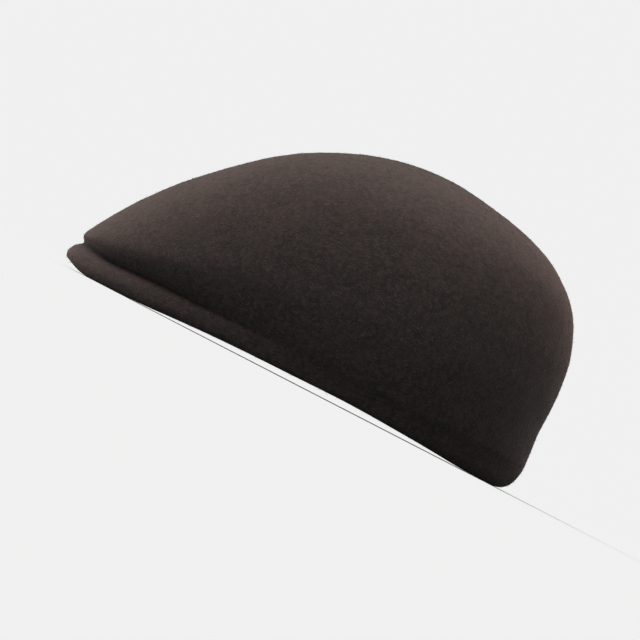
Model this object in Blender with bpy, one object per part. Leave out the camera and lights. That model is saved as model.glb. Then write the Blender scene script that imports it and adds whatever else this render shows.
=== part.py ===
"""A moulded wool felt flat cap.

The cap is one piece of felt, as the real one is: a hollow crown whose front overhangs the peak
in a crease, a peak of doubled felt with a rounded lip, and a plain rim that curls in at the nape.

Metres. The peak points to -Y, the nape to +Y, and the cap stands on z = 0.
"""

import math
from collections import namedtuple

import bmesh
import bpy

# Overall sizes
LENGTH = 0.266
HEIGHT = 0.1332
CROWN_WIDTH = 0.198
RIM_WIDTH = 0.180
TOP_TO_TIP = 0.160

# Crown: the height at which it is fullest at the back, and the hollow above the nape
BELLY_HEIGHT = 0.052
BACK_INSET = 0.0007
WAIST_DEPTH = 0.0009

# Peak and rim
PEAK_DEPTH = 0.056
PEAK_THICKNESS = 0.0046
LIP_SHOWS = 0.0034
LIP_REACH = 0.0056
ARCH = 0.0045
CREASE_HEIGHT = 0.0138
CREASE_TUCK = 0.0018
BROW_HEIGHT = 0.0140
TEMPLE_HEIGHT = 0.0060
OPENING_WIDTH = 0.172
NAPE_ROLL = 0.0075
REST_FLAT = 0.0010

# Felt
FELT = 0.0026
FELT_COLOUR = (0.036, 0.028, 0.026, 1.0)

# How square the plan outlines are, 2 being an ellipse: each one's front half, and the back of all
Squareness = namedtuple("Squareness", "rim crown opening back")
SQUARENESS = Squareness(rim=2.6, crown=2.3, opening=2.2, back=2.2)

# Faces round the cap and down it
COLUMNS = 72
OUTSIDE_STEPS = 2

# Rings of the crown, from its top down to its fullest part. Rise is a share of the height between
# the two, and front, side and back are shares of the reach from the top to the fullest part.
Ring = namedtuple("Ring", "rise front side back")
CROWN_RINGS = (
    Ring(0.980, 0.129, 0.175, 0.175),
    Ring(0.930, 0.245, 0.380, 0.406),
    Ring(0.850, 0.368, 0.575, 0.612),
    Ring(0.740, 0.512, 0.730, 0.759),
    Ring(0.600, 0.643, 0.848, 0.870),
    Ring(0.440, 0.767, 0.925, 0.934),
    Ring(0.280, 0.865, 0.972, 0.975),
    Ring(0.130, 0.942, 0.994, 0.992),
    Ring(0.000, 1.000, 1.000, 1.000),
)

# The rim at stations from the tip of the peak, turn 0, by the side to the nape, turn 180.
# belly: height at which the crown is fullest, of BELLY_HEIGHT.
# lift: lower edge above the surface, of ARCH.    crease: its height, of CREASE_HEIGHT.
# lip: how far the edge stands out under the crease, of LIP_REACH.
# tuck: how far the crease is tucked in under the crown, of CREASE_TUCK.
# edge: height of the outermost point, of the way from the lower edge to the crease.
# roll: how far in the lower edge curls, of NAPE_ROLL. peak: 1 where the rim is the peak, 0 the wall.
Station = namedtuple("Station", "turn belly lift crease lip tuck edge roll peak")
STATIONS = (
    Station(0, 0.40, 1.00, 1.09, 0.95, 0.20, 0.36, 0.24, 1.00),
    Station(14, 0.40, 0.82, 1.02, 1.02, 0.50, 0.36, 0.24, 1.00),
    Station(28, 0.42, 0.06, 0.88, 1.20, 0.90, 0.38, 0.24, 1.00),
    Station(36, 0.45, 0.00, 0.89, 1.25, 1.00, 0.38, 0.24, 1.00),
    Station(46, 0.50, 0.00, 0.93, 1.20, 1.00, 0.38, 0.24, 1.00),
    Station(60, 0.60, 0.36, 0.96, 0.85, 1.00, 0.38, 0.22, 0.98),
    Station(74, 0.74, 0.66, 1.00, 0.15, 0.80, 0.38, 0.20, 0.75),
    Station(84, 0.82, 0.74, 1.06, -0.35, 0.35, 0.38, 0.20, 0.38),
    Station(95, 0.87, 0.82, 1.12, -0.50, 0.05, 0.38, 0.20, 0.10),
    Station(118, 0.92, 0.46, 1.15, -0.45, 0.00, 0.38, 0.22, 0.00),
    Station(142, 0.96, 0.00, 1.15, -0.25, 0.00, 0.45, 0.32, 0.00),
    Station(154, 0.98, 0.00, 1.17, -0.12, 0.00, 0.60, 0.55, 0.00),
    Station(180, 1.00, 0.30, 1.25, 0.00, 0.00, 0.75, 1.00, 0.00),
)

AXIS_Y = TOP_TO_TIP - LENGTH / 2


def cubic(t, start, start_slope, end, end_slope):
    """The value at t, from 0 to 1, of the cubic that has these ends and slopes."""
    return (
        (2 * t**3 - 3 * t**2 + 1) * start
        + (t**3 - 2 * t**2 + t) * start_slope
        + (3 * t**2 - 2 * t**3) * end
        + (t**3 - t**2) * end_slope
    )


def station(turn, column):
    """A column of the station table at any turn, on a smooth curve through the rows."""
    turn = abs(turn)
    turns = [row.turn for row in STATIONS]
    values = [getattr(row, column) for row in STATIONS]
    turns = [-turns[1], *turns, 2 * turns[-1] - turns[-2]]
    values = [values[1], *values, values[-2]]
    i = max(k for k in range(1, len(turns) - 2) if turns[k] <= turn)
    span = turns[i + 1] - turns[i]
    start_slope = (values[i + 1] - values[i - 1]) / (turns[i + 1] - turns[i - 1]) * span
    end_slope = (values[i + 2] - values[i]) / (turns[i + 2] - turns[i]) * span
    return cubic((turn - turns[i]) / span, values[i], start_slope, values[i + 1], end_slope)


def blend(turn, front, side, back):
    """A value that is front at turn 0, side at 90 and back at 180."""
    cosine = math.cos(math.radians(turn))
    end = front if cosine > 0 else back
    return end * cosine**2 + side * (1 - cosine**2)


def plan(turn, front, side, back, outline):
    """The point at a turn of one of the plan outlines, measured from the crown's axis."""
    sine = math.sin(math.radians(turn))
    cosine = math.cos(math.radians(turn))
    square = getattr(SQUARENESS, outline if cosine > 0 else "back")
    x = math.copysign(side * abs(sine) ** (2 / square), sine)
    if cosine > 0:
        return x, -front * cosine ** (2 / square)
    return x, back * abs(cosine) ** (2 / square)


def rim_point(turn, inset, height):
    """A point inside the rim's outermost outline by inset."""
    front = TOP_TO_TIP - inset
    back = LENGTH - TOP_TO_TIP - inset
    x, y = plan(turn, front, RIM_WIDTH / 2 - inset, back, "rim")
    return x, y, height


def crown_point(turn, share, inset, height):
    """A point at a share of the crown's reach, inside its fullest outline by inset."""
    front = TOP_TO_TIP - LIP_SHOWS - inset
    back = LENGTH - TOP_TO_TIP - BACK_INSET - inset
    x, y = plan(turn, front, CROWN_WIDTH / 2 - inset, back, "crown")
    return x * share, y * share, height


def opening_point(turn, inset, height):
    """A point at the head opening's edge, inset further in."""
    front = TOP_TO_TIP - PEAK_DEPTH - inset
    back = LENGTH - TOP_TO_TIP - NAPE_ROLL - inset
    x, y = plan(turn, front, OPENING_WIDTH / 2 - inset, back, "opening")
    return x, y, height


def mixed(a, b, share):
    """The point a share of the way from a to b."""
    return tuple(p + (q - p) * share for p, q in zip(a, b))


def crown(turn, inset):
    """Points down the crown at one turn, from its top to the crease: inset is the wall for the inside."""
    belly = station(turn, "belly") * BELLY_HEIGHT
    top = HEIGHT - inset
    points = [(0.0, 0.0, top)]
    for ring in CROWN_RINGS:
        share = blend(turn, ring.front, ring.side, ring.back)
        points.append(crown_point(turn, share, inset, belly + ring.rise * (top - belly)))
    return points


def waist(turn, inset, crease):
    """The point between the crown's fullest part and the crease."""
    belly = station(turn, "belly") * BELLY_HEIGHT
    full = crown_point(turn, 1.0, inset + blend(turn, 0, 0, WAIST_DEPTH), belly)
    near = mixed(full, crease, 0.28)
    return near[0], near[1], (belly + crease[2]) / 2


def smooth(points, steps):
    """A curve through the points, level where it starts, with this many steps between two of them."""
    first, second = points[:2]
    before = (2 * first[0] - second[0], 2 * first[1] - second[1], second[2])
    ends = [before, *points, points[-1]]
    curve = []
    for a, b, c, d in zip(ends, ends[1:], ends[2:], ends[3:]):
        for step in range(steps):
            point = (cubic(step / steps, q, (r - p) / 2, r, (s - q) / 2) for p, q, r, s in zip(a, b, c, d))
            curve.append(tuple(point))
    return [*curve, points[-1]]


def section(turn):
    """The cut through the felt at one turn: down the outside, round the rim and up the inside."""
    low = max(0.0, station(turn, "lift")) * ARCH
    high = station(turn, "crease") * CREASE_HEIGHT
    lip = station(turn, "lip") * LIP_REACH
    edge = low + station(turn, "edge") * (high - low)
    roll = station(turn, "roll") * NAPE_ROLL
    peak = max(0.0, min(1.0, station(turn, "peak")))

    tuck = station(turn, "tuck") * CREASE_TUCK
    foot = rim_point(turn, lip, high)
    under_belly = waist(turn, 0.0, foot)
    overhang = mixed(foot, under_belly, 1.2 * CREASE_TUCK / (under_belly[2] - high))
    crease = rim_point(turn, lip + tuck, high)
    outside = [*smooth([*crown(turn, 0.0), under_belly, overhang], OUTSIDE_STEPS), crease]

    # The lip: down from the crease to the outermost point, and round to the lower edge.
    drop = high - edge
    outer = [(0.58 * lip, high - 0.20 * drop), (0.22 * lip, high - 0.52 * drop), (0.0, edge)]
    for angle in (math.pi / 6, math.pi / 3):
        outer.append((roll * (1 - math.cos(angle)), low + (edge - low) * (1 - math.sin(angle))))
    rim = [rim_point(turn, *p) for p in outer]
    rim += [
        rim_point(turn, roll, low),
        rim_point(turn, roll + REST_FLAT, low),
        rim_point(turn, roll + 1.4 * REST_FLAT, low + 0.5 * REST_FLAT),
    ]

    # Where the rim is the crown's wall, its inside runs one felt thickness behind the outside.
    (i1, z1), (i2, z2), (i3, z3), (i4, z4), (i5, z5) = outer
    wall = [
        rim_point(turn, i5 + 0.5 * FELT, z5 + 0.87 * FELT),
        rim_point(turn, (i5 + i4) / 2 + 0.7 * FELT, (z5 + z4) / 2 + 0.7 * FELT),
        rim_point(turn, i4 + 0.87 * FELT, z4 + 0.5 * FELT),
        rim_point(turn, i3 + FELT, z3 + 0.2 * FELT),
        rim_point(turn, i2 + FELT, z2),
        rim_point(turn, i1 + FELT, z1),
        rim_point(turn, lip + tuck + FELT, high),
    ]
    # Where it is the peak, it runs back under the crown to the head opening, round its edge, and
    # forward again over the peak to the pocket under the crown's front.
    brow = blend(turn, BROW_HEIGHT, TEMPLE_HEIGHT, TEMPLE_HEIGHT)
    under = rim_point(turn, max(lip, FELT) + 0.4 * FELT, high - 1.35 * PEAK_THICKNESS)
    lower = opening_point(turn, 0.0, brow)
    upper = opening_point(turn, 0.0, brow + PEAK_THICKNESS)
    corner = rim_point(turn, lip + tuck + 1.2 * FELT, high - 0.5 * FELT)
    plate = [
        under,
        mixed(under, lower, 0.5),
        lower,
        opening_point(turn, 0.3 * PEAK_THICKNESS, brow + PEAK_THICKNESS / 2),
        upper,
        mixed(upper, corner, 0.5),
        corner,
    ]
    inner_rim = [mixed(w, p, peak) for w, p in zip(wall, plate)]

    inner_crease = inner_rim[-1]
    inside = [*crown(turn, FELT), waist(turn, FELT, inner_crease)]
    return outside, [*rim, *inner_rim], inside[::-1]


def felt_body():
    """The whole cap as one closed skin, lofted through its sections."""
    mesh = bmesh.new()
    turns = [360 * k / COLUMNS - 180 for k in range(COLUMNS)]
    columns = []
    for turn in turns:
        outside, rim, inside = section(turn)
        columns.append([*outside[1:], *rim, *inside[:-1]])
    top = mesh.verts.new((0.0, AXIS_Y, HEIGHT))
    underside = mesh.verts.new((0.0, AXIS_Y, HEIGHT - FELT))
    grid = [[mesh.verts.new((x, y + AXIS_Y, z)) for x, y, z in column] for column in columns]
    for k, left in enumerate(grid):
        right = grid[(k + 1) % COLUMNS]
        mesh.faces.new((top, right[0], left[0]))
        mesh.faces.new((underside, left[-1], right[-1]))
        for a, b, c, d in zip(left, left[1:], right[1:], right):
            mesh.faces.new((a, d, c, b))
    bmesh.ops.recalc_face_normals(mesh, faces=mesh.faces)
    data = bpy.data.meshes.new("cap")
    mesh.to_mesh(data)
    mesh.free()
    return data


def felt_material():
    """Dark brown wool felt."""
    material = bpy.data.materials.new("wool_felt")
    material.use_nodes = True
    shader = material.node_tree.nodes["Principled BSDF"]
    shader.inputs["Base Color"].default_value = FELT_COLOUR
    shader.inputs["Roughness"].default_value = 0.95
    shader.inputs["Metallic"].default_value = 0.0
    return material


def main():
    for old in list(bpy.data.objects):
        bpy.data.objects.remove(old)
    data = felt_body()
    data.materials.append(felt_material())
    data.shade_smooth()
    cap = bpy.data.objects.new("cap", data)
    collection = bpy.data.collections.new("flat_cap")
    bpy.context.scene.collection.children.link(collection)
    collection.objects.link(cap)


main()
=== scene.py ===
"""A dark brown wool felt flat cap, resting on a pale floor and seen from its left side."""

import math
import random
from collections import namedtuple

import bmesh
import bpy
import numpy as np
from mathutils import Matrix, Vector, noise


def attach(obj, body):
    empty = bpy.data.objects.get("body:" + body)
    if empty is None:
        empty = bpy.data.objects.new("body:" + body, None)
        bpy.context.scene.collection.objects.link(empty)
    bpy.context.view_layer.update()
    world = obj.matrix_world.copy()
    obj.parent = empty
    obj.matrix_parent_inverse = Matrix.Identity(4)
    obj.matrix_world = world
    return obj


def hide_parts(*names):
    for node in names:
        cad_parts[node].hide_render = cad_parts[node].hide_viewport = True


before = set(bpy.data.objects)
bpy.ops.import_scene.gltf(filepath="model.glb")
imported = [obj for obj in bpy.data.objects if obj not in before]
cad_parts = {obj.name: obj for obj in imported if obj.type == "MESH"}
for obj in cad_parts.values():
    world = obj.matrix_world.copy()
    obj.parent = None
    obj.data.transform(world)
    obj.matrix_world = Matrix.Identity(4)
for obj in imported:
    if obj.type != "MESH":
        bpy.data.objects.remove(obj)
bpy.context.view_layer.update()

MM = 0.001

# Camera: the point that it looks at, and the width that its frame takes in there. It looks up
# from just over the floor, and is rolled so that the rim runs down to the right. Degrees.
AIM = Vector((0.0, 1.9, 36.2)) * MM
LENS = 135.0
SENSOR = 36.0
VIEW_WIDTH = 339.1 * MM
ELEVATION = -1.5
ROLL = 27.25
NEAREST = 5 * MM

# Light: its strength, how wide it looks from the cap and how far it leans towards the peak,
# both in degrees, and its tint
LIGHT = 10.9
LIGHT_ANGLE = 78.0
LIGHT_TILT = 22.0
LIGHT_TINT = (1.0, 0.81, 0.77)

# Surround: the room as it lights the cap and as it is seen, and the floor
ROOM = 0.32
BACKDROP = 0.871
FLOOR = (0.249, 0.300, 0.314)
FLOOR_SPECKLE = 0.99
FLOOR_SIZE = 60.0

# Grains of noise: the size of the lumps, how fine they break up, and the range of values over
# which one tone turns into the next
Grain = namedtuple("Grain", "size detail roughness low high", defaults=(0.0, 1.0))
LUMPS = Grain(9 * MM, 3.0, 0.55, 0.35, 0.65)
MOTTLE = Grain(2.8 * MM, 4.0, 0.65, 0.38, 0.68)
FINE = Grain(0.7 * MM, 2.0, 0.70, 0.55, 0.85)
STRANDS = Grain(0.42 * MM, 1.0, 0.50, 0.60, 0.74)
FIBRE_GRAIN = Grain(2.5 * MM, 2.0, 0.55, 0.35, 0.65)
FLOOR_GRAIN = Grain(0.4, 2.0, 0.55)

# The strands matted into the felt: how each set is turned, in degrees, and how they stretch
STRAND_TURNS = ((0, 0, 20), (50, 20, 80), (-40, 70, 10), (20, -60, 130))
STRAND_STRETCH = (1.0, 0.16, 0.45)

# Colours of the felt: two of its lumps, and over them the mottle, the fine grain and the strands
LUMP_DARK = (0.0060, 0.0066, 0.0063)
LUMP_PALE = (0.0092, 0.0088, 0.0083)
MOTTLE_TONE = (0.0160, 0.0132, 0.0120)
FINE_TONE = (0.025, 0.021, 0.019)
STRAND_TONE = (0.045, 0.038, 0.034)
STRAND_SHARE = 0.40
SHEEN_TINT = (0.62, 0.49, 0.44)
FELT_RELIEF = 0.35 * MM

# Unevenness of the felt, in millimetres: how wide the waves are and how deep. Each is a smooth
# shift of three noises, read so far apart. It fades out towards the rim, from a height down.
Wave = namedtuple("Wave", "width depth")
WAVES = (Wave(38, 0.55), Wave(13, 0.22), Wave(4.5, 0.10), Wave(2.0, 0.06))
APART = (Vector((0.0, 0.0, 0.0)), Vector((31.4, 17.2, 5.9)), Vector((-12.7, 44.1, 23.3)))
CALM_RIM = 14 * MM
SAME_PLACE = 0.01 * MM
FLATTEST_FOLD = math.radians(60)
ROUNDING = 2

# Loose fibres: their wool, and the ranges of their length and width in millimetres and of the
# degrees by which they rise out of the felt. Each layer is one fibre doubled so many times.
Wool = namedtuple("Wool", "name dark pale")
BROWN = Wool("brown_fibre", (0.012, 0.010, 0.009), (0.038, 0.030, 0.026))
PALE = Wool("pale_fibre", (0.040, 0.033, 0.029), (0.110, 0.092, 0.082))
Nap = namedtuple("Nap", "name seed length width lean wool")
NAPS = (
    Nap("brown_fibres", 1, (1.5, 4.0), (0.05, 0.10), (1.0, 9.0), BROWN),
    Nap("pale_fibres", 2, (1.0, 3.0), (0.04, 0.08), (0.0, 7.0), PALE),
    Nap("standing_fibres", 3, (0.5, 1.6), (0.03, 0.06), (15.0, 70.0), BROWN),
)
NAP_DOUBLINGS = 13
FIBRE_ENDS = 0.25
FIBRE_BOW = 0.35
ROOT_DEPTH = 0.05 * MM
OVER_FLOOR = 0.02 * MM

# Where fibres grow: fewer on the faces that look in towards the middle, and none at the edge
MIDDLE = Vector((0.0, 20.0, 40.0)) * MM
INSIDE_SHARE = 0.25
BARE_EDGE = 1.5 * MM

# Sockets of a node that mixes colours
MIX_SHARE, MIX_FIRST, MIX_SECOND, MIX_RESULT = 0, 6, 7, 2


class Shade:
    """A shader value that can be added and multiplied."""

    def __init__(self, nodes, socket):
        self.nodes = nodes
        self.socket = socket

    def __add__(self, other):
        return self.nodes.make("ShaderNodeMath", {"operation": "ADD"}, [self, other])

    def __mul__(self, other):
        return self.nodes.make("ShaderNodeMath", {"operation": "MULTIPLY"}, [self, other])

    def held(self):
        """The value kept between 0 and 1."""
        return self.nodes.make("ShaderNodeClamp", {}, [self, 0.0, 1.0])


class Nodes:
    """The nodes of one material."""

    def __init__(self, name):
        self.material = bpy.data.materials.new(name)
        self.material.use_nodes = True
        self.tree = self.material.node_tree
        self.shader = self.tree.nodes["Principled BSDF"]

    def give(self, socket, value):
        """Link a shade to a socket, or set the socket to a plain value."""
        if isinstance(value, Shade):
            self.tree.links.new(value.socket, socket)
        else:
            socket.default_value = value

    def make(self, kind, settings, inputs, output=0):
        """A node of that type, with its settings, and its inputs by place or by name."""
        node = self.tree.nodes.new(kind)
        for name, value in settings.items():
            setattr(node, name, value)
        pairs = inputs.items() if isinstance(inputs, dict) else enumerate(inputs)
        for key, value in pairs:
            self.give(node.inputs[key], value)
        return Shade(self, node.outputs[output])

    def place(self):
        return self.make("ShaderNodeTexCoord", {}, {}, output="Object")

    def stretched(self, where, turn, scale):
        """Coordinates turned by some degrees and scaled along each way."""
        angles = [math.radians(a) for a in turn]
        inputs = {"Vector": where, "Rotation": angles, "Scale": scale}
        return self.make("ShaderNodeMapping", {}, inputs)

    def noise(self, where, grain):
        """Noise from 0 to 1 of that grain."""
        inputs = {
            "Vector": where,
            "Scale": 1.0 / grain.size,
            "Detail": grain.detail,
            "Roughness": grain.roughness,
        }
        return self.make("ShaderNodeTexNoise", {}, inputs, output="Fac")

    def step(self, value, grain):
        """0 where the value is under the grain's low one, 1 over its high one, smooth between."""
        inputs = {"Value": value, "From Min": grain.low, "From Max": grain.high}
        return self.make("ShaderNodeMapRange", {"interpolation_type": "SMOOTHSTEP"}, inputs)

    def blend(self, share, first, second):
        """A colour that is first where share is 0 and second where it is 1."""
        inputs = {MIX_SHARE: share, MIX_FIRST: first, MIX_SECOND: second}
        return self.make("ShaderNodeMix", {"data_type": "RGBA"}, inputs, output=MIX_RESULT)

    def bump(self, height, depth):
        """A normal for a height from 0 to 1 that stands for depth metres."""
        inputs = {"Height": height, "Distance": depth}
        return self.make("ShaderNodeBump", {}, inputs, output="Normal")

    def surface(self, **inputs):
        """The material, with these inputs of its shader."""
        for name, value in inputs.items():
            self.give(self.shader.inputs[name.replace("_", " ")], value)
        return self.material


def colour(red, green, blue):
    return (red, green, blue, 1.0)


def wool_felt():
    """Felted wool: a dark mix of fibres, matted in every direction, with some pale ones."""
    nodes = Nodes("wool_felt")
    where = nodes.place()
    lumps = nodes.noise(where, LUMPS)
    mottle = nodes.noise(where, MOTTLE)
    fine = nodes.noise(where, FINE)
    strands = None
    for turn in STRAND_TURNS:
        along = nodes.stretched(where, turn, STRAND_STRETCH)
        lines = nodes.step(nodes.noise(along, STRANDS), STRANDS)
        strands = lines if strands is None else strands + lines
    strands = (strands * 0.5).held()
    tone = nodes.blend(nodes.step(lumps, LUMPS), colour(*LUMP_DARK), colour(*LUMP_PALE))
    tone = nodes.blend(nodes.step(mottle, MOTTLE), tone, colour(*MOTTLE_TONE))
    tone = nodes.blend(nodes.step(fine, FINE), tone, colour(*FINE_TONE))
    tone = nodes.blend(strands * STRAND_SHARE, tone, colour(*STRAND_TONE))
    height = mottle * 0.5 + fine * 0.3 + strands * 0.35
    return nodes.surface(
        Base_Color=tone,
        Roughness=0.95,
        Normal=nodes.bump(height, FELT_RELIEF),
        Specular_IOR_Level=0.15,
        Sheen_Weight=0.11,
        Sheen_Roughness=0.45,
        Sheen_Tint=colour(*SHEEN_TINT),
    )


def fibre_wool(wool):
    """The wool of single fibres, each somewhere between its dark and its pale tone."""
    nodes = Nodes(wool.name)
    share = nodes.step(nodes.noise(nodes.place(), FIBRE_GRAIN), FIBRE_GRAIN)
    tone = nodes.blend(share, colour(*wool.dark), colour(*wool.pale))
    return nodes.surface(Base_Color=tone, Roughness=0.85, Specular_IOR_Level=0.15)


def floor_paper():
    """Plain matt paper, very slightly speckled."""
    nodes = Nodes("floor_paper")
    speckle = colour(*(FLOOR_SPECKLE * c for c in FLOOR))
    tone = nodes.blend(nodes.noise(nodes.place(), FLOOR_GRAIN), speckle, colour(*FLOOR))
    return nodes.surface(Base_Color=tone, Roughness=1.0, Specular_IOR_Level=0.0)


def in_scene(name, data):
    """A new object in the scene."""
    thing = bpy.data.objects.new(name, data)
    bpy.context.scene.collection.objects.link(thing)
    return thing


def finished(name, shape):
    """The mesh of a shape that is done with."""
    data = bpy.data.meshes.new(name)
    shape.to_mesh(data)
    shape.free()
    return data


def felt_body():
    """The cap in felt: the solid's own shape, rounded and with the slight unevenness of felt."""
    shape = bmesh.new()
    shape.from_mesh(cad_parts["cap"].data)
    bmesh.ops.remove_doubles(shape, verts=shape.verts, dist=SAME_PLACE)
    bmesh.ops.join_triangles(
        shape,
        faces=shape.faces,
        angle_face_threshold=FLATTEST_FOLD,
        angle_shape_threshold=FLATTEST_FOLD,
    )
    faceted = finished("felt_body", shape)
    cap = in_scene("felt_body", faceted)
    smooth = cap.modifiers.new("smooth", "SUBSURF")
    smooth.levels = ROUNDING
    smooth.render_levels = ROUNDING
    rounded = cap.evaluated_get(bpy.context.evaluated_depsgraph_get())
    felt = bpy.data.meshes.new_from_object(rounded)
    cap.modifiers.clear()
    cap.data = felt
    bpy.data.meshes.remove(faceted)
    felt.name = "felt_body"
    places = []
    for vertex in felt.vertices:
        share = min(1.0, max(0.0, vertex.co.z / CALM_RIM))
        shift = Vector()
        for wave in WAVES:
            place = vertex.co / (wave.width * MM)
            shift += Vector([noise.noise(place + apart) for apart in APART]) * wave.depth
        places.extend(vertex.co + shift * share * MM)
    felt.vertices.foreach_set("co", places)
    felt.shade_smooth()
    felt.materials.clear()
    felt.materials.append(wool_felt())
    return cap


def fibre():
    """One closed three-sided fibre along Z, a unit long and thick, thin at both ends."""
    shape = bmesh.new()
    bmesh.ops.create_cone(shape, cap_ends=True, segments=3, radius1=0.5, radius2=0.5, depth=1.0)
    for height in (-0.2, 0.2):
        everything = [*shape.verts, *shape.edges, *shape.faces]
        bmesh.ops.bisect_plane(shape, geom=everything, plane_co=(0, 0, height), plane_no=(0, 0, 1))
    ends = [vertex for vertex in shape.verts if abs(vertex.co.z) > 0.4]
    bmesh.ops.scale(shape, verts=ends, vec=(FIBRE_ENDS, FIBRE_ENDS, 1.0))
    return shape


def growth(face):
    """How many fibres a face carries, against the others."""
    if face.center.z < BARE_EDGE:
        return 0.0
    outside = face.normal.dot(face.center - MIDDLE) > 0
    return face.area if outside else INSIDE_SHARE * face.area


def rooted(felt, layer, count):
    """A row for each fibre: its root, the ways along, beside and over it, and its three sizes."""
    chance = random.Random(layer.seed)
    rows = []
    for face in chance.choices(felt.polygons, [growth(face) for face in felt.polygons], k=count):
        first, second, third = (felt.vertices[k].co for k in face.vertices[:3])
        turn = Vector([chance.gauss(0, 1) for axis in range(3)]).cross(face.normal).normalized()
        rise = math.radians(chance.uniform(*layer.lean))
        along = turn * math.cos(rise) + face.normal * math.sin(rise)
        side = turn.cross(face.normal)
        spot = first.lerp(second, chance.random()).lerp(third, 0.7 * chance.random())
        spot = spot - ROOT_DEPTH * face.normal
        length = chance.uniform(*layer.length) * MM
        width = chance.uniform(*layer.width) * MM
        bow = chance.uniform(-FIBRE_BOW, FIBRE_BOW)
        rows.append([*spot, *along, *side, *along.cross(side), length, width, bow])
    return np.array(rows)


def nap(layer, body, material):
    """A layer of loose fibres all over the felt, at random turns."""
    shape = fibre()
    corners = len(shape.verts)
    for doubling in range(NAP_DOUBLINGS):
        bmesh.ops.duplicate(shape, geom=[*shape.verts, *shape.edges, *shape.faces])
    data = finished(layer.name, shape)
    count = len(data.vertices) // corners
    places = np.empty(len(data.vertices) * 3)
    data.vertices.foreach_get("co", places)
    x, y, z = (places.reshape(count, corners, 3)[..., k : k + 1] for k in range(3))
    z = z + 0.5

    rows = rooted(body.data, layer, count)[:, None, :]
    spot, along, side, over = (rows[..., k : k + 3] for k in (0, 3, 6, 9))
    length, width, bow = (rows[..., k : k + 1] for k in (12, 13, 14))
    bent = side * (x * width + bow * z**2 * length)
    places = spot + along * z * length + bent + over * y * width
    places[..., 2] = np.maximum(places[..., 2], OVER_FLOOR)
    data.vertices.foreach_set("co", places.ravel())
    data.materials.append(material)
    return in_scene(layer.name, data)


def floor():
    """A plain pale floor, wide enough to reach the horizon."""
    shape = bmesh.new()
    bmesh.ops.create_grid(shape, x_segments=1, y_segments=1, size=FLOOR_SIZE)
    data = finished("floor", shape)
    data.materials.append(floor_paper())
    in_scene("floor", data)


def studio():
    """A wide soft light over the cap, in a dim room that is seen as a pale backdrop."""
    light = bpy.data.lights.new("overhead", "SUN")
    light.energy = LIGHT
    light.angle = math.radians(LIGHT_ANGLE)
    light.color = LIGHT_TINT
    tilt = math.radians(LIGHT_TILT)
    towards = Vector((0.0, -math.sin(tilt), math.cos(tilt)))
    in_scene("overhead", light).rotation_euler = towards.to_track_quat("Z", "Y").to_euler()
    world = bpy.data.worlds.new("studio")
    world.use_nodes = True
    nodes = world.node_tree.nodes
    seen = nodes.new("ShaderNodeLightPath")
    strength = nodes.new("ShaderNodeMapRange")
    strength.inputs["To Min"].default_value = ROOM
    strength.inputs["To Max"].default_value = BACKDROP
    world.node_tree.links.new(seen.outputs["Is Camera Ray"], strength.inputs["Value"])
    world.node_tree.links.new(strength.outputs["Result"], nodes["Background"].inputs["Strength"])
    nodes["Background"].inputs["Color"].default_value = colour(1.0, 1.0, 1.0)
    bpy.context.scene.world = world


def camera():
    """The photograph's view of the cap's left side."""
    view = bpy.data.cameras.new("view")
    view.lens = LENS
    view.sensor_width = SENSOR
    view.clip_start = NEAREST
    distance = VIEW_WIDTH / 2 / (SENSOR / 2 / LENS)
    elevation = math.radians(ELEVATION)
    away = Vector((math.cos(elevation), 0.0, math.sin(elevation)))
    roll = Matrix.Rotation(math.radians(ROLL), 3, "Z")
    turn = away.to_track_quat("Z", "Y").to_matrix() @ roll
    holder = in_scene("view", view)
    holder.matrix_world = Matrix.Translation(AIM + away * distance) @ turn.to_4x4()
    bpy.context.scene.camera = holder


bpy.context.scene.view_settings.view_transform = "Standard"
camera()
studio()
floor()
body = felt_body()
materials = {wool: fibre_wool(wool) for wool in (BROWN, PALE)}
pieces = [body, *(nap(layer, body, materials[layer.wool]) for layer in NAPS)]
for piece in pieces:
    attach(piece, "root")
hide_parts("cap")
